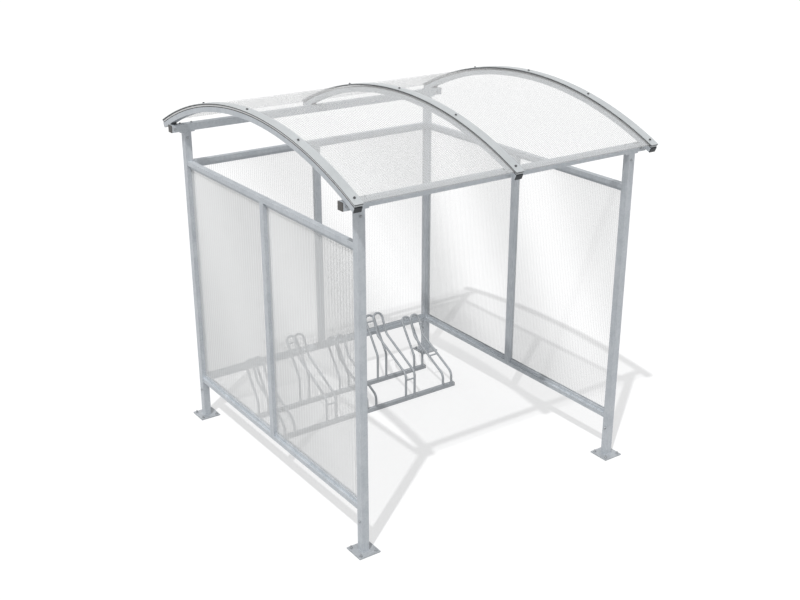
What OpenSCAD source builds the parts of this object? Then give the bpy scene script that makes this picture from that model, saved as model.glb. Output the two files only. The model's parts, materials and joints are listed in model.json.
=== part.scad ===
// Curved-roof cycle shelter with a five-place cycle rack. Millimetres, +Z up.
// +X runs to the right along the open front, +Y runs to the back wall.

/* [Frame] */
// width of each square post
post_w = 50; // [40:1:70]
// distance between post centres along the open front
post_pitch_x = 2056; // [1950:1:2600]
// distance between post centres from front to back
post_pitch_y = 2172; // [2050:1:2600]
// height of the underside of the eaves beams
beam_under_z = 2192; // [2060:1:2500]
// height and depth of each eaves beam
beam_w = 50; // [40:1:70]
// how far each beam tube runs past the outer arch
beam_past = 6; // [2:1:40]
// thickness of the plastic caps on beam and arch ends
cap_t = 5; // [3:0.5:8]

/* [Feet] */
// side of each square foot plate
foot_plate_w = 150; // [130:1:200]
// thickness of each foot plate
foot_plate_t = 8; // [5:0.5:15]
// distance between anchor holes in a foot plate
foot_hole_pitch = 110; // [96:1:114]
// diameter of each anchor hole
foot_hole_d = 14; // [8:0.5:16]
// length of each head plate along its beam
head_plate_l = 104; // [80:1:160]
// thickness of each head plate
head_plate_t = 8; // [5:0.5:12]

/* [Roof] */
// outer radius of the roof arches
arch_r = 2750; // [2500:1:3600]
// width of each arch tube
arch_w = 50; // [40:1:80]
// depth of each arch tube
arch_h = 32; // [25:1:50]
// how far each outer arch stands outside its posts, centre to centre
arch_outset = 82; // [55:1:120]
// half angle of each arch, in degrees
arch_half_angle = 26.1; // [25.5:0.1:27]
// thickness of the packers where arches bear on the beam edges
arch_seat = 4; // [1:0.5:8]
// depth of each packer, from the outer edge of its beam
packer_depth = 28; // [15:1:38]
// how far each packer stays inside the sides of its arch
packer_inset = 10; // [2:1:14]
// thickness of the rubber strip under and over the sheets
gasket_t = 5; // [3:0.5:8]
// thickness of each twin-wall roof sheet
sheet_t = 10; // [8:0.5:16]
// gap between the two roof sheets over the middle arch
sheet_gap = 8; // [4:1:20]
// how far each roof sheet stops short of the arch ends
sheet_back = 18; // [12:1:40]
// clearance between a sheet end and its end stop
stop_gap = 2; // [1:0.5:5]
// how far each clamp strip runs past both sides of its arch
strip_past = 5; // [2:0.5:16]
// thickness of each clamp strip
strip_t = 4; // [3:0.5:8]
// how far the upper seal stays inside each edge of the clamp strip
seal_inset = 2; // [0:0.5:4]

/* [Walls] */
// height of the underside of the bottom rails
bottom_rail_z = 285; // [200:1:500]
// height of the top of the top rails
top_rail_z = 1980; // [1700:1:2040]
// height of each rail tube
rail_h = 30; // [25:1:40]
// thickness of rails and mullions across the wall
rail_t = 40; // [30:1:50]
// width of each mullion
mullion_w = 48; // [40:1:70]
// height of the channel that holds a sheet edge
channel_h = 22; // [15:1:30]
// thickness of that channel across the wall
channel_t = 24; // [18:1:28]
// thickness of each wall sheet
wall_sheet_t = 10; // [6:0.5:14]
// clearance around each wall sheet
wall_gap = 3; // [2:0.5:6]
// clearance between a sheet and the sides of its channel slot
slot_gap = 0.5; // [0.2:0.1:2]
// how far the sheets of both side walls stand to the right of the rail middle
sheet_shift = 8; // [0:1:8]

/* [Rack] */
// distance between wheel places
rack_pitch = 360; // [300:1:380]
// shift of the rack from the middle of the shelter
rack_shift = 27; // [0:1:40]
// side of the square rack rails
rack_rail_w = 30; // [25:1:40]
// distance of the front rack rail from the middle of the shelter
rack_front_y = 406; // [350:1:450]
// distance of the back rack rail from the middle of the shelter
rack_back_y = 798; // [700:1:820]
// how far each rack rail runs past the last hoop leg
rack_rail_past = 22; // [14:1:60]
// thickness of the plastic plug in each rail end
plug_t = 3; // [2:0.5:6]
// distance between the two legs of a hoop
hoop_gap = 82; // [70:1:100]
// diameter of the hoop tube
hoop_d = 18; // [14:1:22]
// diameter of the bar between the two legs
bar_d = 12.6; // [8:0.2:16]
// how much higher the high places stand
hoop_raise = 100; // [60:1:120]
// bend radius in the hoop legs
hoop_bend_r = 60; // [40:5:90]
// height of the first bend of a low front hoop
front_bend_z = 120; // [100:1:160]
// how far back a front hoop runs from its first bend to its second
front_run = 387; // [320:1:420]
// how much it climbs over that run
front_climb = 188; // [150:1:240]
// how far back the steep top part runs to its crown
front_top_run = 75; // [55:1:110]
// how much the steep top part climbs
front_top_climb = 159; // [140:1:220]
// place of the bar along the run of a low front hoop
front_bar_at = 210; // [110:1:300]
// height of the bend of a low back hoop
back_bend_z = 132; // [100:1:180]
// how far back a back hoop leans from its bend to its crown
back_run = 192; // [140:1:210]
// how much it climbs over that lean
back_climb = 273; // [220:1:320]

/* [Hidden] */
$fn = 48;
places = 5;
// bends are a hair thicker than the runs that end 1 mm inside them
bend_d = hoop_d + 0.4;
tuck = 1;
px = post_pitch_x / 2;
py = post_pitch_y / 2;
post_top = beam_under_z - head_plate_t;
beam_top = beam_under_z + beam_w;
arch_x = px + arch_outset;
beam_half = arch_x + arch_w / 2 + beam_past;
arch_in = arch_r - arch_h;
// height over the arch centre of a circle of radius r, at distance y from the middle
function rise(r, y) = sqrt(pow(r, 2) - pow(y, 2));
// the arches bear on the outer top edges of the beams, over thin packers
arch_cz = beam_top + arch_seat - rise(arch_in, py + beam_w / 2);
sheet_r = arch_r + gasket_t;
seal_r = sheet_r + sheet_t;
strip_r = seal_r + gasket_t;
strip_w = arch_w + 2 * strip_past;
sheet_half_angle = arch_half_angle - sheet_back / sheet_r * 180 / PI;
stop_angle = sheet_half_angle + stop_gap / sheet_r * 180 / PI;
rail_top_under = top_rail_z - rail_h;
sheet_z0 = bottom_rail_z + rail_h;
wall_x_len = post_pitch_x - post_w;
wall_y_len = post_pitch_y - post_w;
rack_half = (places - 1) / 2 * rack_pitch + hoop_gap / 2 + rack_rail_past;
steel = [0.68, 0.70, 0.72];
clear = [0.88, 0.91, 0.93];
alu = [0.80, 0.82, 0.83];
dark = [0.12, 0.12, 0.13];

// ---------- helpers ----------

// box of a given size centred on X and Y, standing on Z
module block(sx, sy, sz) {
    translate([-sx / 2, -sy / 2, 0]) cube([sx, sy, sz]);
}

// ring sector across the shelter between two radii and two angles from the top
module arc_band(r0, r1, width, a0, a1) {
    translate([-width / 2, 0, arch_cz])
        rotate([90, 0, 90])
            rotate([0, 0, 90 + a0])
                rotate_extrude(angle = a1 - a0, $fn = 720)
                    translate([r0, 0]) square([r1 - r0, width]);
}

// same four places for every post
module at_posts() {
    for (sx = [-1, 1], sy = [-1, 1])
        translate([sx * px, sy * py, 0]) children();
}

// ---------- frame ----------

module foot_plates() {
    color(steel) at_posts() difference() {
        block(foot_plate_w, foot_plate_w, foot_plate_t);
        for (sx = [-1, 1], sy = [-1, 1])
            translate([sx * foot_hole_pitch / 2, sy * foot_hole_pitch / 2, -1])
                cylinder(d = foot_hole_d, h = foot_plate_t + 2);
    }
}

module post(sx, sy) {
    color(steel) translate([sx * px, sy * py, foot_plate_t])
        block(post_w, post_w, post_top - foot_plate_t);
}

module post_front_left() { post(-1, -1); }
module post_front_right() { post(1, -1); }
module post_back_left() { post(-1, 1); }
module post_back_right() { post(1, 1); }

module head_plates() {
    color(steel) at_posts() translate([0, 0, post_top])
        block(head_plate_l, beam_w, head_plate_t);
}

module eaves_beam(sy) {
    color(steel) translate([0, sy * py, beam_under_z])
        block(2 * beam_half, beam_w, beam_w);
}

module eaves_beam_front() { eaves_beam(-1); }
module eaves_beam_back() { eaves_beam(1); }

module beam_end_caps() {
    color(dark) for (sx = [-1, 1], sy = [-1, 1])
        translate([sx * (beam_half + cap_t / 2), sy * py, beam_under_z])
            block(cap_t, beam_w, beam_w);
}

// ---------- roof ----------

// wedge between beam top and arch underside, thin at the outer edge
module arch_packers() {
    y1 = py + beam_w / 2;
    y0 = y1 - packer_depth;
    w = arch_w - 2 * packer_inset;
    color(dark) for (x = [-arch_x, 0, arch_x], m = [0, 1])
        mirror([0, m, 0]) translate([x - w / 2, 0, 0])
            rotate([90, 0, 90]) linear_extrude(height = w)
                polygon([[y0, beam_top], [y1, beam_top], [y1, beam_top + arch_seat],
                         [y0, arch_cz + rise(arch_in, y0)]]);
}

module roof_arch(x) {
    color(steel) translate([x, 0, 0])
        arc_band(arch_in, arch_r, arch_w, -arch_half_angle, arch_half_angle);
}

module roof_arch_left() { roof_arch(-arch_x); }
module roof_arch_middle() { roof_arch(0); }
module roof_arch_right() { roof_arch(arch_x); }

module arch_end_caps() {
    color(dark) for (x = [-arch_x, 0, arch_x], s = [-1, 1])
        translate([x, 0, arch_cz]) rotate([-s * arch_half_angle, 0, 0])
            translate([-arch_w / 2, s > 0 ? 0 : -cap_t, arch_in])
                cube([arch_w, cap_t, arch_h]);
}

module lower_seals() {
    color(dark) for (x = [-arch_x, 0, arch_x]) translate([x, 0, 0])
        arc_band(arch_r, sheet_r, arch_w, -arch_half_angle, arch_half_angle);
}

// one bay of roof sheet from an outer arch to the middle gap
module roof_sheet(sx) {
    w = arch_x + arch_w / 2 - sheet_gap / 2;
    color(clear) translate([sx * (sheet_gap / 2 + w / 2), 0, 0])
        arc_band(sheet_r, seal_r, w, -sheet_half_angle, sheet_half_angle);
}

module roof_sheet_left() { roof_sheet(-1); }
module roof_sheet_right() { roof_sheet(1); }

// blocks between arch and clamp strip that close the ends and hold the sheets in
module sheet_end_stops() {
    color(alu) for (x = [-arch_x, 0, arch_x]) translate([x, 0, 0]) {
        arc_band(sheet_r, seal_r, arch_w, stop_angle, arch_half_angle);
        arc_band(sheet_r, seal_r, arch_w, -arch_half_angle, -stop_angle);
    }
}

module upper_seals() {
    color(dark) for (x = [-arch_x, 0, arch_x]) translate([x, 0, 0])
        arc_band(seal_r, strip_r, strip_w - 2 * seal_inset, -arch_half_angle, arch_half_angle);
}

module clamp_strip(x) {
    color(alu) translate([x, 0, 0])
        arc_band(strip_r, strip_r + strip_t, strip_w, -arch_half_angle, arch_half_angle);
}

module clamp_strip_left() { clamp_strip(-arch_x); }
module clamp_strip_middle() { clamp_strip(0); }
module clamp_strip_right() { clamp_strip(arch_x); }

// ---------- walls, each drawn along X about its own middle ----------

module wall_rail(len, z) {
    color(steel) translate([0, 0, z]) block(len, rail_t, rail_h);
}

module wall_mullion() {
    color(steel) translate([0, 0, sheet_z0])
        block(mullion_w, rail_t, rail_top_under - sheet_z0);
}

// channels above and below each sheet, slotted for the sheet
module wall_channels(len, shift) {
    w = (len - mullion_w) / 2;
    slot = wall_sheet_t + 2 * slot_gap;
    color(steel) for (s = [-1, 1]) translate([s * (mullion_w / 2 + w / 2), -shift, 0]) {
        difference() {
            translate([0, 0, sheet_z0]) block(w, channel_t, channel_h);
            translate([0, 0, sheet_z0 + channel_h / 2])
                block(w + 2, slot, channel_h);
        }
        difference() {
            translate([0, 0, rail_top_under - channel_h]) block(w, channel_t, channel_h);
            translate([0, 0, rail_top_under - channel_h * 1.5])
                block(w + 2, slot, channel_h);
        }
    }
}

module wall_sheets(len, shift) {
    w = (len - mullion_w) / 2 - 2 * wall_gap;
    z0 = sheet_z0 + channel_h / 2 + wall_gap;
    z1 = rail_top_under - channel_h / 2 - wall_gap;
    color(clear) for (s = [-1, 1])
        translate([s * (mullion_w / 2 + wall_gap + w / 2), -shift, z0])
            block(w, wall_sheet_t, z1 - z0);
}

module on_left() { translate([-px, 0, 0]) rotate([0, 0, 90]) children(); }
module on_right() { translate([px, 0, 0]) rotate([0, 0, 90]) children(); }
module on_back() { translate([0, py, 0]) children(); }

module left_top_rail() { on_left() wall_rail(wall_y_len, rail_top_under); }
module left_bottom_rail() { on_left() wall_rail(wall_y_len, bottom_rail_z); }
module left_mullion() { on_left() wall_mullion(); }
module left_channels() { on_left() wall_channels(wall_y_len, sheet_shift); }
module left_sheets() { on_left() wall_sheets(wall_y_len, sheet_shift); }
module right_top_rail() { on_right() wall_rail(wall_y_len, rail_top_under); }
module right_bottom_rail() { on_right() wall_rail(wall_y_len, bottom_rail_z); }
module right_mullion() { on_right() wall_mullion(); }
module right_channels() { on_right() wall_channels(wall_y_len, sheet_shift); }
module right_sheets() { on_right() wall_sheets(wall_y_len, sheet_shift); }
module back_top_rail() { on_back() wall_rail(wall_x_len, rail_top_under); }
module back_bottom_rail() { on_back() wall_rail(wall_x_len, bottom_rail_z); }
module back_mullion() { on_back() wall_mullion(); }
module back_channels() { on_back() wall_channels(wall_x_len, 0); }
module back_sheets() { on_back() wall_sheets(wall_x_len, 0); }

// ---------- cycle rack ----------

function len2(v) = sqrt(v[0] * v[0] + v[1] * v[1]);
function unit2(v) = v / len2(v);
function turn(a, b) = atan2(a[0] * b[1] - a[1] * b[0], a[0] * b[0] + a[1] * b[1]);

// straight tube between two points of the leg plane (y, z)
module leg_run(a, b) {
    d = b - a;
    translate([0, a[0], a[1]]) rotate([-atan2(d[0], d[1]), 0, 0])
        cylinder(d = hoop_d, h = len2(d), $fn = 32);
}

// rounded corner at b between runs from a and to c
module leg_bend(a, b, c, r) {
    u = unit2(b - a);
    v = unit2(c - b);
    t = turn(u, v);
    trim = r * tan(abs(t) / 2);
    s = b - u * trim;
    side = sign(t);
    n = [-u[1], u[0]] * side;
    m = s + n * r;
    start = atan2(s[1] - m[1], s[0] - m[0]);
    translate([0, m[0], m[1]]) rotate([90, 0, 90])
        rotate([0, 0, side > 0 ? start : start + t])
            rotate_extrude(angle = abs(t), $fn = 96)
                translate([r, 0]) circle(d = bend_d, $fn = 32);
}

// one leg through points p0, p1, p2 (and p3), rounded at the inner ones
module leg3(p0, p1, p2, r) {
    u = unit2(p1 - p0);
    v = unit2(p2 - p1);
    k = r * tan(abs(turn(u, v)) / 2);
    leg_run(p0, p1 - u * (k - tuck));
    leg_bend(p0, p1, p2, r);
    leg_run(p1 + v * (k - tuck), p2 + v * tuck);
}

module leg4(p0, p1, p2, p3, r) {
    u = unit2(p1 - p0);
    v = unit2(p2 - p1);
    w = unit2(p3 - p2);
    k = r * tan(abs(turn(u, v)) / 2);
    j = r * tan(abs(turn(v, w)) / 2);
    leg_run(p0, p1 - u * (k - tuck));
    leg_bend(p0, p1, p2, r);
    leg_run(p1 + v * (k - tuck), p2 - v * (j - tuck));
    leg_bend(p1, p2, p3, r);
    leg_run(p2 + w * (j - tuck), p3 + w * tuck);
}

// half ring over the two legs, ending the runs that lean along d
module hoop_top(p, d) {
    translate([0, p[0], p[1]]) rotate([-atan2(d[0], d[1]), 0, 0])
        rotate([90, 0, 0]) rotate_extrude(angle = 180, $fn = 96)
            translate([hoop_gap / 2, 0]) circle(d = bend_d, $fn = 32);
}

// bar welded between the two legs
module cross_bar(p) {
    translate([-hoop_gap / 2, p[0], p[1]]) rotate([0, 90, 0])
        cylinder(d = bar_d, h = hoop_gap, $fn = 32);
}

module at_place(i) {
    translate([rack_shift + (i - (places - 1) / 2) * rack_pitch, 0, 0]) children();
}

// front hoop: two bends back towards the wheel
module front_hoop(raise) {
    p0 = [rack_front_y, rack_rail_w];
    p1 = [rack_front_y, front_bend_z + raise];
    p2 = p1 + [front_run, front_climb];
    p3 = p2 + [front_top_run, front_top_climb];
    f = unit2(p2 - p1);
    d = unit2(p3 - p2);
    e = p3 - d * (hoop_gap / 2);
    for (s = [-1, 1]) translate([s * hoop_gap / 2, 0, 0])
        leg4(p0, p1, p2, e, hoop_bend_r);
    hoop_top(e, d);
    // the bar of a high hoop crosses the upright part, just below the bend
    if (raise > 0) cross_bar(p1 - [0, hoop_bend_r * tan(acos(f[1]) / 2) + bar_d]);
    else cross_bar(p1 + f * front_bar_at);
}

// back hoop: one bend back, close to the wall
module back_hoop(raise) {
    p0 = [rack_back_y, rack_rail_w];
    p1 = [rack_back_y, back_bend_z + raise];
    p2 = p1 + [back_run, back_climb];
    d = unit2(p2 - p1);
    e = p2 - d * (hoop_gap / 2);
    for (s = [-1, 1]) translate([s * hoop_gap / 2, 0, 0])
        leg3(p0, p1, e, hoop_bend_r);
    hoop_top(e, d);
    if (raise > 0) cross_bar(e - d * bar_d);
}

module rack_rail(y) {
    color(steel) translate([rack_shift, y, 0])
        block(2 * rack_half, rack_rail_w, rack_rail_w);
}

module rack_front_rail() { rack_rail(rack_front_y); }
module rack_back_rail() { rack_rail(rack_back_y); }

module rack_rail_caps() {
    color(dark) for (y = [rack_front_y, rack_back_y], s = [-1, 1])
        translate([rack_shift + s * (rack_half + plug_t / 2), y, 0])
            block(plug_t, rack_rail_w, rack_rail_w);
}

module rack_front_hoops_low() {
    color(steel) for (i = [0, 2, 4]) at_place(i) front_hoop(0);
}
module rack_front_hoops_high() {
    color(steel) for (i = [1, 3]) at_place(i) front_hoop(hoop_raise);
}
module rack_back_hoops_low() {
    color(steel) for (i = [0, 2, 4]) at_place(i) back_hoop(0);
}
module rack_back_hoops_high() {
    color(steel) for (i = [1, 3]) at_place(i) back_hoop(hoop_raise);
}

foot_plates();
post_front_left();
post_front_right();
post_back_left();
post_back_right();
head_plates();
eaves_beam_front();
eaves_beam_back();
beam_end_caps();
arch_packers();
roof_arch_left();
roof_arch_middle();
roof_arch_right();
arch_end_caps();
lower_seals();
roof_sheet_left();
roof_sheet_right();
sheet_end_stops();
upper_seals();
clamp_strip_left();
clamp_strip_middle();
clamp_strip_right();
left_top_rail();
left_bottom_rail();
left_mullion();
left_channels();
left_sheets();
right_top_rail();
right_bottom_rail();
right_mullion();
right_channels();
right_sheets();
back_top_rail();
back_bottom_rail();
back_mullion();
back_channels();
back_sheets();
rack_front_rail();
rack_back_rail();
rack_rail_caps();
rack_front_hoops_low();
rack_front_hoops_high();
rack_back_hoops_low();
rack_back_hoops_high();
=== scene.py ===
"""Looks for a curved-roof cycle shelter: galvanised frame, twin-wall sheets, clamp strips and fixings."""

import json
import math
from collections import namedtuple

import bmesh
import bpy
from mathutils import Matrix, Vector

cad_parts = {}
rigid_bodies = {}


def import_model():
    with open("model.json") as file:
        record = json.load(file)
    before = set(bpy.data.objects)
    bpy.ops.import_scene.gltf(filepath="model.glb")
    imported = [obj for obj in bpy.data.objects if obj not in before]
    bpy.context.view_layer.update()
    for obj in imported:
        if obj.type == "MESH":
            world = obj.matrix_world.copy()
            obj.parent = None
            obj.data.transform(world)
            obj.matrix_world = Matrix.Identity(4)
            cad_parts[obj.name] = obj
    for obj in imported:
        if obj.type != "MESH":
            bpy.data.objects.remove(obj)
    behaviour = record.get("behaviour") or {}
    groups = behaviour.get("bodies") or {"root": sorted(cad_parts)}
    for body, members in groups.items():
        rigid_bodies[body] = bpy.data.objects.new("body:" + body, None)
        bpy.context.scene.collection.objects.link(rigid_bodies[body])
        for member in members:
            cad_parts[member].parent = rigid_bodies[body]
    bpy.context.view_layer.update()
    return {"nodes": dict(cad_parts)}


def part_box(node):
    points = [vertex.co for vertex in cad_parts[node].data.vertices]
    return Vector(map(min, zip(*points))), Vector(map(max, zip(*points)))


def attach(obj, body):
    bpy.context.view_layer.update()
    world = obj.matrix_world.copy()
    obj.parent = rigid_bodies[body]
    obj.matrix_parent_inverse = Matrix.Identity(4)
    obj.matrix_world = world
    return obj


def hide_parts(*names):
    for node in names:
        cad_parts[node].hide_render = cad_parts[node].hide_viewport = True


bl_info = {
    "name": "Cycle Shelter",
    "version": (1, 0, 0),
    "blender": (4, 5, 0),
    "location": "View3D > Sidebar > Shelter",
    "description": "Dresses the frame of a curved-roof cycle shelter in galvanised steel and twin-wall sheet",
    "category": "Object",
}

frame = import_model()

# ---------- nodes of the frame, by finish ----------

POSTS = ("post_front_left", "post_front_right", "post_back_left", "post_back_right")
BEAMS = ("eaves_beam_front", "eaves_beam_back")
FRAME_NODES = (
    *POSTS, *BEAMS, "head_plates", "roof_arch_left", "roof_arch_middle", "roof_arch_right",
    "left_top_rail", "left_bottom_rail", "left_mullion", "left_channels",
    "right_top_rail", "right_bottom_rail", "right_mullion", "right_channels",
    "back_top_rail", "back_bottom_rail", "back_mullion", "back_channels",
)
# The rack and foot plates, which take a darker copy of the frame's zinc as painted shade near the ground.
PAINTED_SHADE_LOW_NODES = (
    "foot_plates", "rack_front_rail", "rack_back_rail", "rack_front_hoops_low", "rack_front_hoops_high",
    "rack_back_hoops_low", "rack_back_hoops_high",
)
STRIP_NODES = ("clamp_strip_left", "clamp_strip_middle", "clamp_strip_right", "sheet_end_stops")
# The arch packers are real parts, and their black rubber also stands in for the shade in the gaps under the
# arches.
RUBBER_NODES = ("lower_seals", "upper_seals", "arch_packers")
BEAM_CAP_NODES = ("beam_end_caps", "rack_rail_caps")
ARCH_CAP_NODES = ("arch_end_caps",)

# ---------- fixed sizes, in metres ----------

SHEET_THICKNESS = 0.010
PANE_GAP = 0.003  # between a wall sheet and its mullion
TAPE_DEPTH = 0.0002  # how far in from a roof sheet's side the tape is coloured
ROOF_FLUTE_FACES = 4  # faces across each flute
WALL_FLUTE_FACES = 6
ROOF_ARC_STEPS = 60  # faces along the curve of a roof sheet

# a web is darkest this near to its middle line, and fades out at the second distance
WEB_CORE = 0.0018
WEB_FADE = 0.0062

WASHER_SIDES, STUD_SIDES, SCREW_SIDES, NUT_SIDES = 20, 14, 12, 6
SEAT = 0.0002  # how far a bolt's washer is sunk into what it sits on
SCREW_SEAT = 0.0003  # the same for a strip screw, which stands on a curve
SCREW_WASHER, BOLT_WASHER = 1.25, 1.2  # a washer's width for each unit of its head's
SCREW_SIZES = {"head_height": 0.006, "washer_height": 0.0014}
BOLT_SIZES = {"head_height": 0.007, "washer_height": 0.002, "stud_across": 0.008, "stud_height": 0.010}
ANCHOR_SIZES = {"head_height": 0.008, "washer_height": 0.002, "stud_across": 0.010, "stud_height": 0.016}
ANCHOR_WASHER = 0.022
ANCHOR_PITCH = 0.110
RAIL_BOLT_HEIGHT = 0.215  # of the bolt near a post's foot
POST_BOLT_DROP = 0.038  # from a post's top down to the bolt in its front
POST_BOLT_SHIFT = 0.004  # from a post's middle to that bolt
HEAD_BOLT_REACH = 0.042  # from a post's middle to the bolts through its head plate
ARCH_BOLT_SHIFT = 0.010  # from an arch's middle to the bolt in the beam beside it

# How plainly three marks show on each wall's sheets: the webs between the flutes, every second flute,
# and the painted sheen, that is how much darker and denser a pane is painted away from a soft diagonal
# band of painted highlight. Only one skin of a sheet carries the lines, because those of two skins,
# one behind the other, beat against each other.
PaneMarks = namedtuple("PaneMarks", "webs pairs dull")
PANE_MARKS = {
    "left": PaneMarks(webs=0.0, pairs=1.8, dull=0.45),
    "right": PaneMarks(webs=0.7, pairs=0.05, dull=1.3),
    "back": PaneMarks(webs=0.6, pairs=0.0, dull=1.2),
}
SHEEN_LEAN = 0.6  # how far the sheen moves aside for each metre up
SHEEN_FALL = 4.9  # how fast the sheen fades to either side

# ---------- stage ----------

# the camera's place in metres and its turn, and the way in which each lamp shines
CAMERA_PLACE = (-4.1356, -5.9106, 3.9656)
CAMERA_TILT, CAMERA_SWING = math.radians(68.03), math.radians(-35.01)
LENS_MM, SENSOR_MM = 50.0, 36.0
SUN_HEADING = (0.495, 0.366, -1.0)
FILL_HEADING = (0.65, 0.75, -0.25)
SUN_SPREAD, FILL_SPREAD = math.radians(0.9), math.radians(50.0)
SKY_TINT = (0.985, 0.99, 1.0)
FLOOR_REACH = 400.0  # from the middle to each side
FLOOR_DROP = 0.0005  # under the foot plates, so that the two don't share a plane
FLOOR_TONE = (0.92, 0.92, 0.92)
FLOOR_WHITE = 1.12  # strength of the floor's glow


def middle(node):
    """Centre of a frame node."""
    lo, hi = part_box(node)
    return (lo + hi) / 2


def in_scene(name, data):
    """A new object in the scene that holds this data."""
    thing = bpy.data.objects.new(name, data)
    bpy.context.scene.collection.objects.link(thing)
    return thing


def label(key):
    """The name of the socket that a keyword stands for."""
    return key.replace("_", " ").title()


# ---------- nodes as Python ----------


class Wire:
    """A socket of a node tree. Its operators add Math nodes, so that node maths reads as Python."""

    def __init__(self, nodes, socket):
        self.nodes = nodes
        self.socket = socket

    def outputs(self):
        """The wires of all outputs of this wire's node, by their names."""
        return {socket.name: Wire(self.nodes, socket) for socket in self.socket.node.outputs}

    def maths(self, operation, *values):
        """One Math node with these values."""
        return self.nodes.add("ShaderNodeMath", {"operation": operation}, dict(enumerate(values)))

    def __add__(self, other):
        return self.maths("ADD", self, other)

    def __radd__(self, other):
        return self.maths("ADD", other, self)

    def __sub__(self, other):
        return self.maths("SUBTRACT", self, other)

    def __rsub__(self, other):
        return self.maths("SUBTRACT", other, self)

    def __mul__(self, other):
        return self.maths("MULTIPLY", self, other)

    def __rmul__(self, other):
        return self.maths("MULTIPLY", other, self)

    def __truediv__(self, other):
        return self.maths("DIVIDE", self, other)

    def __rtruediv__(self, other):
        return self.maths("DIVIDE", other, self)

    def __gt__(self, other):
        return self.maths("GREATER_THAN", self, other)

    def __lt__(self, other):
        return self.maths("LESS_THAN", self, other)

    def size(self):
        return self.maths("ABSOLUTE", self)

    def sign(self):
        return self.maths("SIGN", self)

    def sine(self):
        return self.maths("SINE", self)

    def cosine(self):
        return self.maths("COSINE", self)

    def exponent(self):
        return self.maths("EXPONENT", self)

    def at_least(self, other):
        """The larger of the two."""
        return self.maths("MAXIMUM", self, other)

    def fold(self, step):
        """Distance to the nearest multiple of step."""
        return self.maths("PINGPONG", self, step / 2)

    def between(self, low, high, start=0.0, end=1.0):
        """Maps low..high to start..end with smooth ends."""
        return self.nodes.add(
            "ShaderNodeMapRange", {"interpolation_type": "SMOOTHSTEP"},
            {"Value": self, "From Min": low, "From Max": high, "To Min": start, "To Max": end})


class Nodes:
    """A node tree that is filled through one method."""

    # where a Mix node has its sockets for colours
    MIX_FACTOR, MIX_FIRST, MIX_SECOND, MIX_RESULT = 0, 6, 7, 2

    def __init__(self, tree):
        self.tree = tree
        tree.nodes.clear()

    def add(self, kind, settings=None, sockets=None, output=0):
        """Adds a node: its settings first, then the values or links of its sockets.

        Returns the wire of one output, or None for a node that has none.
        """
        node = self.tree.nodes.new(kind)
        for key, value in (settings or {}).items():
            setattr(node, key, value)
        for key, value in (sockets or {}).items():
            self.feed(node.inputs[key], value)
        return Wire(self, node.outputs[output]) if node.outputs else None

    def feed(self, socket, value):
        """Links a wire to a socket, or a list of wires to one that takes many, or sets its own value."""
        if isinstance(value, Wire):
            self.tree.links.new(value.socket, socket)
        elif isinstance(value, list):
            for wire in value:
                self.feed(socket, wire)
        elif socket.type == "RGBA":
            socket.default_value = (*value, 1.0)
        else:
            socket.default_value = value

    def split(self, vector):
        """The x, y and z of a vector."""
        parts = self.add("ShaderNodeSeparateXYZ", None, {0: vector}).outputs()
        return parts["X"], parts["Y"], parts["Z"]

    def mix(self, factor, first, second):
        """Mixes two colours by a factor."""
        return self.add("ShaderNodeMix", {"data_type": "RGBA"}, {
            self.MIX_FACTOR: factor, self.MIX_FIRST: first, self.MIX_SECOND: second}, self.MIX_RESULT)


class Finish(Nodes):
    """One material: a Principled surface and the nodes that feed it."""

    def __init__(self, name):
        self.material = bpy.data.materials.new(name)
        self.material.use_nodes = True
        super().__init__(self.material.node_tree)
        surface = self.add("ShaderNodeBsdfPrincipled")
        self.inputs = surface.socket.node.inputs
        self.add("ShaderNodeOutputMaterial", None, {"Surface": surface})
        self.where = self.add("ShaderNodeTexCoord", output="Object")

    def set(self, **sockets):
        """Sets or links sockets of the Principled surface."""
        for key, value in sockets.items():
            self.feed(self.inputs[label(key)], value)

    def stretched(self, x, y, z):
        """The place on the object, multiplied by a factor along each axis."""
        return self.add("ShaderNodeVectorMath", {"operation": "MULTIPLY"}, {0: self.where, 1: (x, y, z)})

    def noise(self, scale, detail=3.0, roughness=0.5, place=None):
        """Cloudy noise about one half."""
        return self.add("ShaderNodeTexNoise", None, {
            "Vector": place or self.where, "Scale": scale, "Detail": detail, "Roughness": roughness})

    def bump(self, height, distance, strength):
        """Fine relief from a height."""
        self.set(normal=self.add("ShaderNodeBump", None, {
            "Height": height, "Distance": distance, "Strength": strength}, output="Normal"))


def coat(nodes, material):
    """Gives frame nodes their material in every slot."""
    for node in nodes:
        mesh = frame["nodes"][node].data
        mesh.materials.clear()
        mesh.materials.append(material)


# ---------- materials of the frame and trim ----------


def galvanised_steel(name, dull, bright):
    """Hot-dip zinc: cloudy grey with faint spangle and soft runs."""
    steel = Finish(name)
    clouds = steel.noise(9.0, detail=4.0, roughness=0.6)
    runs = steel.noise(6.0, roughness=0.55, place=steel.stretched(9.0, 9.0, 0.8))
    crystals = steel.add("ShaderNodeTexVoronoi", {"feature": "F1"},
                         {"Vector": steel.where, "Scale": 90.0}, output="Color")
    spangle = steel.add("ShaderNodeSeparateColor", None, {"Color": crystals}, output="Red")
    shade = (clouds * 0.55 + runs * 0.3 + spangle * 0.15).between(0.3, 0.7)
    steel.set(base_color=steel.mix(shade, dull, bright), metallic=0.25,
              roughness=shade * 0.16 + 0.40 + spangle * 0.06)
    fine = steel.noise(420.0, detail=2.0, roughness=0.6)
    steel.bump(fine * 0.5 + clouds * 0.5, distance=0.0006, strength=0.25)
    return steel.material


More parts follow.
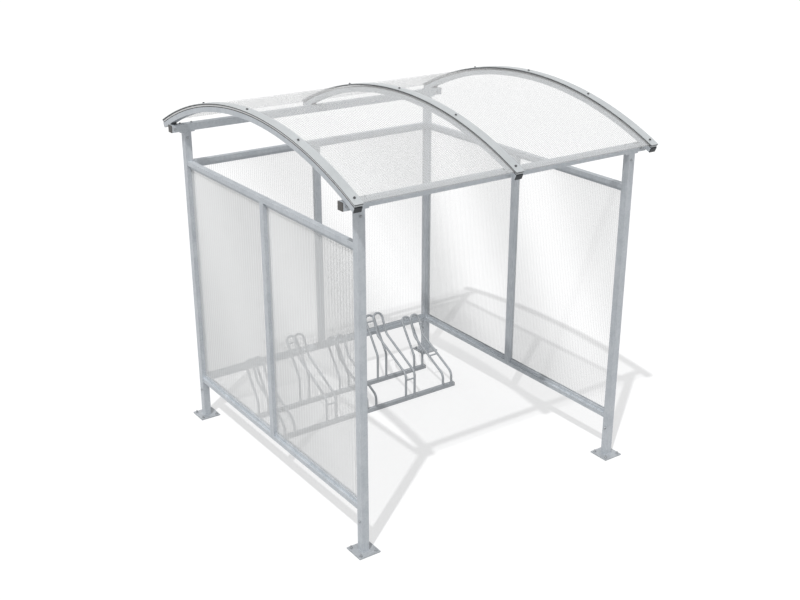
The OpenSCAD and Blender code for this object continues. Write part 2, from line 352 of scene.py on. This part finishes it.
def mill_aluminium(dark, light):
    """Extruded strip: fine lines along its length over a soft satin grey."""
    strip = Finish("mill_aluminium")
    lines = strip.noise(60.0, detail=2.0, place=strip.stretched(14.0, 0.6, 0.6))
    clouds = strip.noise(5.0, roughness=0.55)
    shade = (lines * 0.5 + clouds * 0.5).between(0.32, 0.68)
    strip.set(base_color=strip.mix(shade, dark, light), metallic=0.35, roughness=shade * 0.1 + 0.34)
    strip.bump(lines, distance=0.0004, strength=0.2)
    return strip.material


def seal_rubber(deep, bloomed):
    """Black sealing rubber with a fine bloom."""
    rubber = Finish("seal_rubber")
    bloom = rubber.noise(40.0, detail=4.0, roughness=0.6).between(0.35, 0.75)
    rubber.set(base_color=rubber.mix(bloom, deep, bloomed), roughness=bloom * 0.15 + 0.6)
    rubber.bump(rubber.noise(500.0, detail=2.0), distance=0.0004, strength=0.3)
    return rubber.material


def moulded_cap(name, deep, pale):
    """Moulded plastic cap with a light spark-eroded texture."""
    cap = Finish(name)
    grain = cap.noise(380.0, roughness=0.6)
    cloud = cap.noise(18.0, detail=2.0).between(0.3, 0.7)
    cap.set(base_color=cap.mix(cloud, deep, pale), roughness=grain * 0.2 + 0.42)
    cap.bump(grain, distance=0.0005, strength=0.4)
    return cap.material


def zinc_fixing(name, stained, clean):
    """Zinc of screws, bolts, nuts and washers, stained in places, made once for each name."""
    if name in bpy.data.materials:
        return bpy.data.materials[name]
    zinc = Finish(name)
    stain = zinc.noise(220.0, roughness=0.6).between(0.35, 0.7)
    zinc.set(base_color=zinc.mix(stain, stained, clean), metallic=0.6, roughness=stain * 0.2 + 0.35)
    zinc.bump(zinc.noise(900.0, detail=2.0), distance=0.0002, strength=0.3)
    return zinc.material


def bolt_zinc(looks):
    """The zinc that anchors and frame bolts share."""
    return zinc_fixing("bolt_zinc", stained=(0.30, 0.31, 0.32), clean=looks.fixing)


# ---------- materials of the twin-wall sheets ----------


def webs(place, pitch):
    """One along the webs between the flutes, which stand a pitch apart, and nought between them."""
    return place.fold(pitch).between(WEB_CORE, WEB_FADE, 1.0, 0.0)


def paired_flutes(place, pitch):
    """One along the middle of every second flute, with a soft fall to nought beside it."""
    return place.fold(pitch * 2).between(pitch * 0.2, pitch * 0.55, 1.0, 0.0)


def skin_alpha(clear):
    """Alpha of each of a sheet's two skins, where the sheet as a whole passes this share of light."""
    return 1.0 - math.sqrt(clear)


def let_through(sheet, alpha, thinner):
    """Thins a sheet by a share for the light that falls through it, which it scatters and doesn't stop."""
    shadow = sheet.add("ShaderNodeLightPath", output="Is Shadow Ray")
    return alpha * (1.0 - shadow * thinner)


def roof_twin_wall(side, looks, pitch, arc):
    """Clear twin-wall roof sheet with taped side edges, its flutes running from front to back."""
    node = "roof_sheet_" + side
    lo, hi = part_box(node)
    sheet = Finish("roof_twin_wall_" + side)
    x, y, z = sheet.split(sheet.where)
    rise = z - arc.centre_z
    upper_skin = y * y + rise * rise > arc.middle_radius * arc.middle_radius
    web = webs(x - middle(node).x, pitch) * upper_skin
    haze = sheet.noise(2.2, roughness=0.55)
    taped = x.size() > max(abs(lo.x), abs(hi.x)) - TAPE_DEPTH
    colour = sheet.mix(web * 0.45, looks.clear, looks.web)
    body = skin_alpha(looks.roof_clear) - 0.03  # less what the webs add on average
    alpha = web * 0.14 + (haze - 0.5) * 0.06 + body + taped
    sheet.set(base_color=sheet.mix(taped, colour, looks.cut_edge), roughness=haze * 0.12 + 0.16,
              alpha=let_through(sheet, alpha, looks.roof_light))
    return sheet.material


def wall_twin_wall(side, looks, pitch, reach):
    """Clear twin-wall panes, their middles this reach from the wall's: denser at a slant, with a painted
    sheen, a lighter diagonal band, and painted shade beside it.
    """
    marks, centre = PANE_MARKS[side], middle(side + "_sheets")
    pane = Finish(side + "_twin_wall")
    x, y, z = pane.split(pane.where)
    if side == "back":
        across, lined_skin, lean = x - centre.x, y < centre.y, -SHEEN_LEAN
    else:
        across, lined_skin, lean = y - centre.y, x < centre.x, SHEEN_LEAN
    place = across - reach
    lines = (webs(place, pitch) * marks.webs + paired_flutes(place, pitch) * marks.pairs) * lined_skin
    haze = pane.noise(2.2, roughness=0.55)
    # distance aside from the painted sheen, a painted highlight which leans across the middle of each pane
    aside = (across.size() - reach) * across.sign() - (z - centre.z) * lean
    # painted shade beside the painted sheen: nought in the sheen, rising aside to this wall's strength, which
    # makes the pane denser and darker there
    dull = (1.0 - (aside * aside * -SHEEN_FALL).exponent()) * marks.dull
    slant = pane.add("ShaderNodeLayerWeight", None, {"Blend": 0.5}, output="Facing").between(0.40, 0.56)
    body = skin_alpha(looks.wall_clear) - 0.02  # less what the lines add on average
    alpha = slant * looks.wall_slant + dull * looks.painted_sheen_alpha + lines * 0.14 + (haze - 0.5) * 0.04 + body
    # the base colour goes from the pane colour, painted highlight in the sheen, to the web colour, painted
    # shade beside it, and along the real web lines
    pane.set(base_color=pane.mix(dull + lines * 0.6, looks.pane, looks.web), roughness=haze * 0.12 + 0.16,
             alpha=let_through(pane, alpha, looks.wall_light))
    return pane.material


# ---------- geometry nodes ----------


class Shape(Nodes):
    """A geometry node tree with named inputs, ending in Realize Instances and Set Material."""

    KINDS = {float: "NodeSocketFloat", int: "NodeSocketInt"}

    def __init__(self, name, **inputs):
        super().__init__(bpy.data.node_groups.new(name, "GeometryNodeTree"))
        add_socket = self.tree.interface.new_socket
        add_socket("Geometry", in_out="OUTPUT", socket_type="NodeSocketGeometry")
        kinds = {key: self.KINDS[kind] for key, kind in inputs.items()} | {"finish": "NodeSocketMaterial"}
        self.ids = {key: add_socket(label(key), in_out="INPUT", socket_type=kind).identifier
                    for key, kind in kinds.items()}
        self.source = self.add("NodeGroupInput").outputs()

    def __getitem__(self, key):
        return self.source[label(key)]

    def vector(self, x=0.0, y=0.0, z=0.0):
        return self.add("ShaderNodeCombineXYZ", None, {"X": x, "Y": y, "Z": z})

    def position(self):
        """The x, y and z of each point where this is read."""
        return self.split(self.add("GeometryNodeInputPosition"))

    def moved(self, geometry, x, y, z):
        """Geometry with each point at a new place."""
        return self.add("GeometryNodeSetPosition", None, {
            "Geometry": geometry, "Position": self.vector(x, y, z)})

    def lifted(self, geometry, height):
        return self.add("GeometryNodeTransform", None, {
            "Geometry": geometry, "Translation": self.vector(z=height)})

    def prism(self, sides, across, height):
        """A closed cylinder with this many sides, standing on the origin."""
        solid = self.add("GeometryNodeMeshCylinder", {"fill_type": "NGON"}, {
            "Vertices": sides, "Radius": across * 0.5, "Depth": height}, output="Mesh")
        return self.lifted(solid, height * 0.5)

    def join(self, *pieces):
        return self.add("GeometryNodeJoinGeometry", None, {"Geometry": list(pieces)})

    def row(self, axis, count, pitch):
        """Points a pitch apart along the x or y axis, centred on the origin."""
        start = 0.0 - pitch * (count - 1.0) * 0.5
        return self.add("GeometryNodeMeshLine", {"mode": "OFFSET"}, {
            "Count": count, "Start Location": self.vector(**{axis: start}),
            "Offset": self.vector(**{axis: pitch})})

    def on_points(self, points, piece, rotation=(0.0, 0.0, 0.0)):
        """A copy of the piece on each point."""
        return self.add("GeometryNodeInstanceOnPoints", None, {
            "Points": points, "Instance": piece, "Rotation": rotation})

    def finish(self, geometry):
        """Ends the tree and returns it."""
        real = self.add("GeometryNodeRealizeInstances", None, {"Geometry": geometry})
        done = self.add("GeometryNodeSetMaterial", None, {"Geometry": real, "Material": self["finish"]})
        self.add("NodeGroupOutput", None, {"Geometry": done})
        return self

    def make(self, name, place, **values):
        """Runs the tree once with these inputs and returns the result as a plain mesh object."""
        maker = in_scene(name + "_maker", bpy.data.meshes.new(name + "_seed"))
        work = maker.modifiers.new("tree", "NODES")
        work.node_group = self.tree
        for key, value in values.items():
            work[self.ids[key]] = value
        maker.update_tag()
        bpy.context.view_layer.update()
        ready = maker.evaluated_get(bpy.context.evaluated_depsgraph_get())
        mesh = bpy.data.meshes.new_from_object(ready)
        mesh.name = name
        maker.modifiers.remove(work)
        bpy.data.objects.remove(maker)
        if not mesh.polygons:
            raise RuntimeError(name + " came out empty")
        # an empty slot of the seed mesh would come before the finish
        mesh.materials.clear()
        mesh.materials.append(values["finish"])
        for face in mesh.polygons:
            face.material_index = 0
        mesh.transform(place)
        return in_scene(name, mesh)


def fluted_sheet_tree():
    """A slab whose skins dip between the webs of its flutes, bent to an arc along its length."""
    tree = Shape("Fluted sheet", width=float, length=float, thickness=float, flute_pitch=float,
                 skin_dip=float, steps_across=int, steps_along=int, bend=float)
    slab = tree.add("GeometryNodeMeshCube", None, {
        "Size": tree.vector(tree["width"], tree["length"], tree["thickness"]),
        "Vertices X": tree["steps_across"], "Vertices Y": tree["steps_along"], "Vertices Z": 2})
    x, y, z = tree.position()
    wave = (x * (2 * math.pi) / tree["flute_pitch"]).cosine()
    dip = (1.0 - wave) * 0.5 * tree["skin_dip"]
    waved = tree.moved(slab, x, y, z - z.sign() * dip)
    # The bend is one over the radius. A flat sheet has a tiny bend instead of none, so that nothing is
    # divided by nought, and the last term is (cosine - 1) / bend in a form that keeps its digits there.
    x, y, z = tree.position()
    bend = tree["bend"].at_least(1e-4)
    turn = y * bend
    half = (turn * 0.5).sine()
    return tree.finish(tree.moved(
        waved, x, turn.sine() / bend + z * turn.sine(), z * turn.cosine() - half * half * 2.0 / bend))


def headed(tree, sides):
    """A round washer with a chamfered head on it, standing on the origin.

    The chamfered crown starts inside the body and is a little narrower, so that no two faces coincide.
    """
    across, height, lift = tree["head_across"], tree["head_height"], tree["washer_height"]
    washer = tree.prism(WASHER_SIDES, tree["washer_across"], lift)
    body = tree.lifted(tree.prism(sides, across, height * 0.75), lift)
    crown = tree.add("GeometryNodeMeshCone", {"fill_type": "NGON"}, {
        "Vertices": sides, "Radius Top": across * 0.38, "Radius Bottom": across * 0.49,
        "Depth": height * 0.3}, output="Mesh")
    return tree.join(washer, body, tree.lifted(crown, lift + height * 0.7))


def strip_screw_tree():
    """Screws on round washers, evenly spaced along the top of each clamp strip."""
    tree = Shape("Strip screws", screws=int, spread=float, radius=float, arches=int, arch_pitch=float,
                 head_across=float, head_height=float, washer_across=float, washer_height=float)
    # a line of as many points as screws, which are then laid along the arc
    points = tree.row("y", tree["screws"], 0.0)
    along = tree.add("GeometryNodeInputIndex") / (tree["screws"] - 1.0)
    angle = (along * 2.0 - 1.0) * tree["spread"]
    arc = tree.moved(points, 0.0, angle.sine() * tree["radius"], angle.cosine() * tree["radius"])
    strip = tree.on_points(arc, headed(tree, SCREW_SIDES), rotation=tree.vector(x=0.0 - angle))
    return tree.finish(tree.on_points(tree.row("x", tree["arches"], tree["arch_pitch"]), strip))


def bolt_group_tree():
    """Hexagon bolts in a rectangle of rows and columns, heads upward."""
    tree = Shape("Bolt group", columns=int, rows=int, column_pitch=float, row_pitch=float,
                 head_across=float, head_height=float, washer_across=float, washer_height=float,
                 stud_across=float, stud_height=float)
    stud = tree.prism(STUD_SIDES, tree["stud_across"], tree["stud_height"])
    bolt = tree.join(headed(tree, NUT_SIDES), stud)
    line = tree.on_points(tree.row("x", tree["columns"], tree["column_pitch"]), bolt)
    return tree.finish(tree.on_points(tree.row("y", tree["rows"], tree["row_pitch"]), line))


def whole_flutes(width, wanted):
    """How many flutes fit a width at about the wanted pitch, and their true pitch."""
    flutes = round(width / wanted)
    return flutes, width / flutes


def settle(piece, material_slot, *nodes):
    """Joins a finished piece to the frame: its ride and the nodes that it stands for."""
    piece.data.shade_flat()
    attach(piece, "root")
    if nodes:
        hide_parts(*nodes)


def merged(name, pieces):
    """One object from several of one material."""
    whole = bmesh.new()
    for piece in pieces:
        whole.from_mesh(piece.data)
    mesh = bpy.data.meshes.new(name)
    whole.to_mesh(mesh)
    whole.free()
    mesh.materials.append(pieces[0].data.materials[0])
    for piece in pieces:
        bpy.data.objects.remove(piece)
    return in_scene(name, mesh)


RoofArc = namedtuple("RoofArc", "centre_z outer_radius middle_radius")


def roof_arc():
    """The arc of the roof sheets, found from the box of one of them.

    The box's top is the crest of the outer skin, and its front and back are that skin's ends. Its bottom
    is the ends of the inner skin, because the sheet is cut off square to its curve.
    """
    lo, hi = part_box("roof_sheet_left")
    half_length, height = (hi.y - lo.y) / 2, hi.z - lo.z
    least, most = half_length, 8 * half_length
    for _ in range(60):
        radius = (least + most) / 2
        end_cosine = math.cos(math.asin(half_length / radius))
        if radius - (radius - SHEET_THICKNESS) * end_cosine > height:
            least = radius
        else:
            most = radius
    return RoofArc(hi.z - radius, radius, radius - SHEET_THICKNESS / 2)


# ---------- floor and sky ----------


def seen_by_eye(nodes):
    """One for camera, glossy and transmission rays, and nought for all others."""
    rays = nodes.add("ShaderNodeLightPath").outputs()
    return rays["Is Camera Ray"].at_least(rays["Is Glossy Ray"]).at_least(rays["Is Transmission Ray"])


def stage_floor(stage):
    """Floor that keeps the shadow and shows near white to the eye, but is grey to all other rays."""
    material = bpy.data.materials.new("stage_floor")
    material.use_nodes = True
    nodes = Nodes(material.node_tree)
    seen = seen_by_eye(nodes)
    tone = nodes.mix(seen, (stage.floor_bounce,) * 3, FLOOR_TONE)
    matt = nodes.add("ShaderNodeBsdfDiffuse", None, {"Color": tone})
    glow = nodes.add("ShaderNodeEmission", None, {"Strength": FLOOR_WHITE})
    surface = nodes.add("ShaderNodeMixShader", None, {0: seen * stage.floor_glow, 1: matt, 2: glow})
    nodes.add("ShaderNodeOutputMaterial", None, {"Surface": surface})
    mesh = bpy.data.meshes.new("stage_floor")
    corners = ((-1, -1), (1, -1), (1, 1), (-1, 1))
    mesh.from_pydata([(x * FLOOR_REACH, y * FLOOR_REACH, -FLOOR_DROP) for x, y in corners], [],
                     [(0, 1, 2, 3)])
    mesh.materials.append(material)
    return in_scene("stage_floor", mesh)


def studio_world(stage):
    """Sky that lights the shelter softly, with plain white as what is seen behind it."""
    world = bpy.data.worlds.new("studio")
    world.use_nodes = True
    nodes = Nodes(world.node_tree)
    soft = nodes.add("ShaderNodeBackground", None, {"Color": SKY_TINT, "Strength": stage.sky})
    white = nodes.add("ShaderNodeBackground", None, {"Color": (1.0, 1.0, 1.0), "Strength": 1.0})
    surface = nodes.add("ShaderNodeMixShader", None, {0: seen_by_eye(nodes), 1: soft, 2: white})
    nodes.add("ShaderNodeOutputWorld", None, {"Surface": surface})
    return world


# ---------- settings ----------


def colour(name, description, default):
    """A colour setting."""
    return bpy.props.FloatVectorProperty(
        name=name, description=description, subtype="COLOR", size=3, min=0.0, max=1.0, default=default)


def share(name, description, default, most=1.0):
    """A setting from nought to its most."""
    return bpy.props.FloatProperty(
        name=name, description=description, subtype="FACTOR", min=0.0, max=most, default=default)


def length(name, description, default, least, most):
    """A setting in metres, with its limits."""
    return bpy.props.FloatProperty(
        name=name, description=description, unit="LENGTH", min=least, max=most, default=default, precision=5)


def strength(name, description, default):
    """The strength of a light."""
    return bpy.props.FloatProperty(name=name, description=description, min=0.0, max=10.0, default=default)


class ShelterLooks(bpy.types.PropertyGroup):
    """Colours and clearness of the shelter's finishes."""

    steel_dark: colour("Dull zinc", "Colour of the dull patches of galvanised steel", (0.475, 0.51, 0.543))
    steel_light: colour("Bright zinc", "Colour of the bright patches of galvanised steel", (0.60, 0.63, 0.66))
    # The rack and foot plates' zinc is painted darker than the frame's: painted shade on the low parts.
    painted_shade_low_dark: colour(
        "Dull low zinc", "Colour of the dull patches of the rack and the foot plates", (0.38, 0.40, 0.422))
    painted_shade_low_bright: colour(
        "Bright low zinc", "Colour of the bright patches of the rack and the foot plates",
        (0.465, 0.488, 0.51))
    strip_dark: colour("Strip shade", "Darker tone of the aluminium clamp strips", (0.465, 0.49, 0.50))
    strip_light: colour("Strip light", "Lighter tone of the aluminium clamp strips", (0.56, 0.585, 0.595))
    rubber: colour("Rubber bloom", "Colour of weathered sealing rubber", (0.055, 0.057, 0.06))
    cap: colour("Cap", "Colour of the plastic caps on beams and rack rails", (0.11, 0.105, 0.10))
    arch_cap: colour("Arch cap", "Colour of the black caps on the arch ends", (0.030, 0.035, 0.040))
    fixing: colour("Fixings", "Colour of bolts, nuts and washers", (0.50, 0.52, 0.54))
    screw: colour("Strip screws", "Colour of the dark screws in the clamp strips", (0.17, 0.17, 0.175))
    clear: colour("Roof sheet", "Colour of the clear roof sheets", (0.695, 0.70, 0.70))
    # On the wall panes, pane is the colour inside the painted sheen, a painted highlight, and web is also the
    # colour they are painted toward beside it, a painted shade.
    pane: colour("Pane", "Colour of the wall panes in their sheen", (0.97, 0.975, 0.975))
    web: colour("Sheet webs", "Colour of the webs inside the sheets", (0.62, 0.63, 0.63))
    cut_edge: colour("Cut edge", "Colour of the taped side edges of the roof sheets", (0.80, 0.81, 0.81))
    flute_pitch: length(
        "Flute pitch", "Distance between the webs of a twin-wall sheet", 0.016, least=0.004, most=0.04)
    skin_dip: length(
        "Skin dip", "How far the skins sink between two webs", 0.00015, least=0.0, most=0.001)
    roof_clear: share("Roof clearness", "Share of light that passes a roof sheet seen face on", 0.47)
    wall_clear: share("Wall clearness", "Share of light that passes a wall sheet seen face on", 0.86)
    wall_slant: share("Wall slant", "How much denser each skin of a wall sheet is at a slant", 0.34)
    # painted sheen: how much denser, and so darker, a pane is painted away from its sheen
    painted_sheen_alpha: share("Dull haze", "How much hazier a pane is away from its sheen", 0.10, most=0.5)
    roof_light: share(
        "Roof light", "How much thinner a roof sheet is to the light that falls through it", 0.42)
    wall_light: share(
        "Wall light", "How much thinner a wall sheet is to the light that falls through it", 0.55)


class ShelterFixings(bpy.types.PropertyGroup):
    """Number and sizes of the screws and bolts."""

    screws: bpy.props.IntProperty(
        name="Screws per strip", description="How many screws hold each clamp strip",
        min=2, max=12, default=5)
    screw_spread: bpy.props.FloatProperty(
        name="Screw spread", description="Angle from the crest to the last screw",
        subtype="ANGLE", min=0.1, max=0.45, default=0.437)
    screw_head: length("Screw head", "Width of a strip screw's head", 0.013, least=0.006, most=0.02)
    bolt_head: length(
        "Bolt head", "Width of a frame bolt's head across its corners", 0.015, least=0.008, most=0.03)
    anchor_nut: length(
        "Anchor nut", "Width of an anchor nut across its corners", 0.018, least=0.012, most=0.03)


class ShelterStage(bpy.types.PropertyGroup):
    """Light and floor of the stage."""

    sun: strength("Sun", "Strength of the sun", 2.0)
    fill: strength("Front fill", "Strength of the soft lamp in front of the shelter", 0.34)
    sky: strength("Sky", "Strength of the even light from all round", 0.56)
    floor_glow: share("Floor glow", "How much of the floor's tone is plain white to the eye", 0.45)
    floor_bounce: share("Floor bounce", "How much light the floor sends back up", 0.28)


# ---------- operators ----------


class SHELTER_OT_dress_frame(bpy.types.Operator):
    """Gives the posts, beams, arches and rails their galvanised finish, and the rack and foot plates a darker
    copy of it as painted shade
    """

    bl_idname = "shelter.dress_frame"
    bl_label = "Dress Frame"

    def execute(self, context):
        looks = context.scene.shelter_looks
        coat(FRAME_NODES, galvanised_steel("frame_steel", looks.steel_dark, looks.steel_light))
        # a darker copy of the same zinc: painted shade on the rack and foot plates
        coat(PAINTED_SHADE_LOW_NODES, galvanised_steel("ground_steel", looks.painted_shade_low_dark, looks.painted_shade_low_bright))
        return {"FINISHED"}


class SHELTER_OT_dress_roof_trim(bpy.types.Operator):
    """Gives the clamp strips, end stops, seals, packers and caps their finishes"""

    bl_idname = "shelter.dress_roof_trim"
    bl_label = "Dress Roof Trim"

    def execute(self, context):
        looks = context.scene.shelter_looks
        coat(STRIP_NODES, mill_aluminium(looks.strip_dark, looks.strip_light))
        # the packers' black also stands in for the shade in the gaps under the arches
        coat(RUBBER_NODES, seal_rubber(deep=(0.018, 0.019, 0.021), bloomed=looks.rubber))
        coat(BEAM_CAP_NODES, moulded_cap("beam_cap", deep=(0.075, 0.072, 0.068), pale=looks.cap))
        coat(ARCH_CAP_NODES, moulded_cap("arch_cap", deep=(0.016, 0.020, 0.024), pale=looks.arch_cap))
        return {"FINISHED"}


class SHELTER_OT_roof_sheets(bpy.types.Operator):
    """Makes the two curved fluted roof sheets"""

    bl_idname = "shelter.roof_sheets"
    bl_label = "Roof Sheets"

    def execute(self, context):
        looks = context.scene.shelter_looks
        tree, arc = fluted_sheet_tree(), roof_arc()
        for side in ("left", "right"):
            node = "roof_sheet_" + side
            lo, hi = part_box(node)
            width, end_angle = hi.x - lo.x, math.asin((hi.y - lo.y) / 2 / arc.outer_radius)
            flutes, pitch = whole_flutes(width, looks.flute_pitch)
            crest = Vector((middle(node).x, 0.0, arc.centre_z + arc.middle_radius))
            sheet = tree.make(
                node + "_fluted", Matrix.Translation(crest), width=width,
                length=2 * end_angle * arc.middle_radius, thickness=SHEET_THICKNESS, flute_pitch=pitch,
                skin_dip=looks.skin_dip, steps_across=flutes * ROOF_FLUTE_FACES + 1,
                steps_along=ROOF_ARC_STEPS + 1, bend=1 / arc.middle_radius,
                finish=roof_twin_wall(side, looks, pitch, arc))
            settle(sheet, "twin_wall_sheet", node)
        return {"FINISHED"}


class SHELTER_OT_wall_sheets(bpy.types.Operator):
    """Makes the six fluted sheets of the side and back walls"""

    bl_idname = "shelter.wall_sheets"
    bl_label = "Wall Sheets"

    def execute(self, context):
        looks = context.scene.shelter_looks
        tree = fluted_sheet_tree()
        upright = Matrix.Rotation(math.pi / 2, 4, "X")
        sideways = Matrix.Rotation(math.pi / 2, 4, "Z") @ upright
        for side in PANE_MARKS:
            node = side + "_sheets"
            along, through, turn = (0, 1, upright) if side == "back" else (1, 0, sideways)
            lo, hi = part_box(node)
            bar_lo, bar_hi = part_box(side + "_mullion")
            mullion = (bar_hi - bar_lo)[along]
            width = ((hi - lo)[along] - mullion - 2 * PANE_GAP) / 2
            reach = mullion / 2 + PANE_GAP + width / 2
            flutes, pitch = whole_flutes(width, looks.flute_pitch)
            material = wall_twin_wall(side, looks, pitch, reach)
            sheets = []
            for way in (-1, 1):
                place = middle(node)
                place[along] += way * reach
                sheets.append(tree.make(
                    "%s_sheet_%d" % (side, way), Matrix.Translation(place) @ turn, width=width,
                    length=hi.z - lo.z, thickness=(hi - lo)[through], flute_pitch=pitch,
                    skin_dip=looks.skin_dip, steps_across=flutes * WALL_FLUTE_FACES + 1, steps_along=2,
                    bend=0.0, finish=material))
            settle(merged(side + "_sheets_fluted", sheets), "twin_wall_sheet", node)
        return {"FINISHED"}


class SHELTER_OT_strip_screws(bpy.types.Operator):
    """Makes the screws that hold the clamp strips down"""

    bl_idname = "shelter.strip_screws"
    bl_label = "Strip Screws"

    def execute(self, context):
        looks, sizes = context.scene.shelter_looks, context.scene.shelter_fixings
        centre_z = roof_arc().centre_z
        strip_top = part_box("clamp_strip_middle")[1].z
        screws = strip_screw_tree().make(
            "strip_screws", Matrix.Translation((0.0, 0.0, centre_z)), screws=sizes.screws,
            spread=sizes.screw_spread, radius=strip_top - centre_z - SCREW_SEAT, arches=3,
            arch_pitch=middle("roof_arch_right").x - middle("roof_arch_middle").x,
            head_across=sizes.screw_head, washer_across=sizes.screw_head * SCREW_WASHER, **SCREW_SIZES,
            finish=zinc_fixing("strip_screw_zinc", stained=(0.05, 0.05, 0.055), clean=looks.screw))
        settle(screws, "galvanised_steel")
        return {"FINISHED"}


class SHELTER_OT_anchor_bolts(bpy.types.Operator):
    """Makes the nut, washer and stud in each hole of the four foot plates"""

    bl_idname = "shelter.anchor_bolts"
    bl_label = "Anchor Bolts"

    def execute(self, context):
        looks, sizes = context.scene.shelter_looks, context.scene.shelter_fixings
        plate_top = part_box("foot_plates")[1].z
        tree = bolt_group_tree()
        groups = []
        for post in POSTS:
            at = middle(post)
            groups.append(tree.make(
                "anchors_" + post, Matrix.Translation((at.x, at.y, plate_top - SEAT)), columns=2, rows=2,
                column_pitch=ANCHOR_PITCH, row_pitch=ANCHOR_PITCH, head_across=sizes.anchor_nut,
                washer_across=ANCHOR_WASHER, **ANCHOR_SIZES, finish=bolt_zinc(looks)))
        settle(merged("anchor_bolts", groups), "galvanised_steel")
        return {"FINISHED"}


class SHELTER_OT_frame_bolts(bpy.types.Operator):
    """Makes the bolts in the posts, the head plates and the eaves beams"""

    bl_idname = "shelter.frame_bolts"
    bl_label = "Frame Bolts"

    def execute(self, context):
        looks, sizes = context.scene.shelter_looks, context.scene.shelter_fixings
        tree = bolt_group_tree()
        bolts = []

        def bolt(name, spot, turn):
            bolts.append(tree.make(
                name, Matrix.Translation(spot) @ turn, columns=1, rows=1, column_pitch=0.0, row_pitch=0.0,
                head_across=sizes.bolt_head, washer_across=sizes.bolt_head * BOLT_WASHER, **BOLT_SIZES,
                finish=bolt_zinc(looks)))

        facing_left = Matrix.Rotation(-math.pi / 2, 4, "Y")
        facing_front = Matrix.Rotation(math.pi / 2, 4, "X")
        facing_up = Matrix.Identity(4)
        beam_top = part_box("eaves_beam_front")[1].z
        for post in POSTS:
            lo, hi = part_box(post)
            at = middle(post)
            bolt(post + "_low", (lo.x + SEAT, at.y, RAIL_BOLT_HEIGHT), facing_left)
            bolt(post + "_high", (at.x - POST_BOLT_SHIFT, lo.y + SEAT, hi.z - POST_BOLT_DROP),
                 facing_front)
            for side, shift in (("left", -HEAD_BOLT_REACH), ("right", HEAD_BOLT_REACH)):
                bolt("%s_head_%s" % (post, side), (at.x + shift, at.y, beam_top - SEAT), facing_up)
        for beam in BEAMS:
            front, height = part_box(beam)[0].y, middle(beam).z
            for arch in ("roof_arch_left", "roof_arch_right"):
                bolt(beam + arch, (middle(arch).x - ARCH_BOLT_SHIFT, front + SEAT, height), facing_front)
        settle(merged("frame_bolts", bolts), "galvanised_steel")
        return {"FINISHED"}


class SHELTER_OT_stage(bpy.types.Operator):
    """Makes the floor, the sun, the soft fill, the sky light and the camera"""

    bl_idname = "shelter.stage"
    bl_label = "Stage"

    def execute(self, context):
        scene = context.scene
        stage = scene.shelter_stage
        stage_floor(stage)
        scene.world = studio_world(stage)
        for name, energy, spread, heading in (
                ("sun", stage.sun, SUN_SPREAD, SUN_HEADING),
                ("front_fill", stage.fill, FILL_SPREAD, FILL_HEADING)):
            light = bpy.data.lights.new(name, "SUN")
            light.energy, light.angle = energy, spread
            lamp = in_scene(name, light)
            lamp.rotation_mode = "QUATERNION"
            lamp.rotation_quaternion = Vector(heading).to_track_quat("-Z", "Y")
        lens = bpy.data.cameras.new("camera")
        lens.lens, lens.sensor_width = LENS_MM, SENSOR_MM
        lens.clip_start, lens.clip_end = 0.05, 1500.0
        camera = in_scene("camera", lens)
        camera.location = CAMERA_PLACE
        camera.rotation_euler = (CAMERA_TILT, 0.0, CAMERA_SWING)
        scene.camera = camera
        scene.view_settings.view_transform = "Standard"
        return {"FINISHED"}


class SHELTER_PT_panel(bpy.types.Panel):
    """Lists the shelter's pieces, sizes and colours"""

    bl_idname = "SHELTER_PT_panel"
    bl_label = "Cycle Shelter"
    bl_space_type = "VIEW_3D"
    bl_region_type = "UI"
    bl_category = "Shelter"

    def draw(self, context):
        for kind in OPERATORS:
            self.layout.operator(kind.bl_idname)
        for name in GROUPS:
            group = getattr(context.scene, name)
            box = self.layout.box()
            for key in group.__annotations__:
                box.prop(group, key)


GROUPS = {
    "shelter_looks": ShelterLooks, "shelter_fixings": ShelterFixings, "shelter_stage": ShelterStage,
}
OPERATORS = (
    SHELTER_OT_dress_frame, SHELTER_OT_dress_roof_trim, SHELTER_OT_roof_sheets, SHELTER_OT_wall_sheets,
    SHELTER_OT_strip_screws, SHELTER_OT_anchor_bolts, SHELTER_OT_frame_bolts, SHELTER_OT_stage,
)
CLASSES = (*GROUPS.values(), *OPERATORS, SHELTER_PT_panel)


def register():
    for kind in CLASSES:
        bpy.utils.register_class(kind)
    for name, group in GROUPS.items():
        setattr(bpy.types.Scene, name, bpy.props.PointerProperty(type=group))


def unregister():
    for name in GROUPS:
        delattr(bpy.types.Scene, name)
    for kind in reversed(CLASSES):
        bpy.utils.unregister_class(kind)


def main():
    register()
    bpy.ops.shelter.dress_frame()
    bpy.ops.shelter.dress_roof_trim()
    bpy.ops.shelter.roof_sheets()
    bpy.ops.shelter.wall_sheets()
    bpy.ops.shelter.strip_screws()
    bpy.ops.shelter.anchor_bolts()
    bpy.ops.shelter.frame_bolts()
    bpy.ops.shelter.stage()


if __name__ == "__main__":
    main()
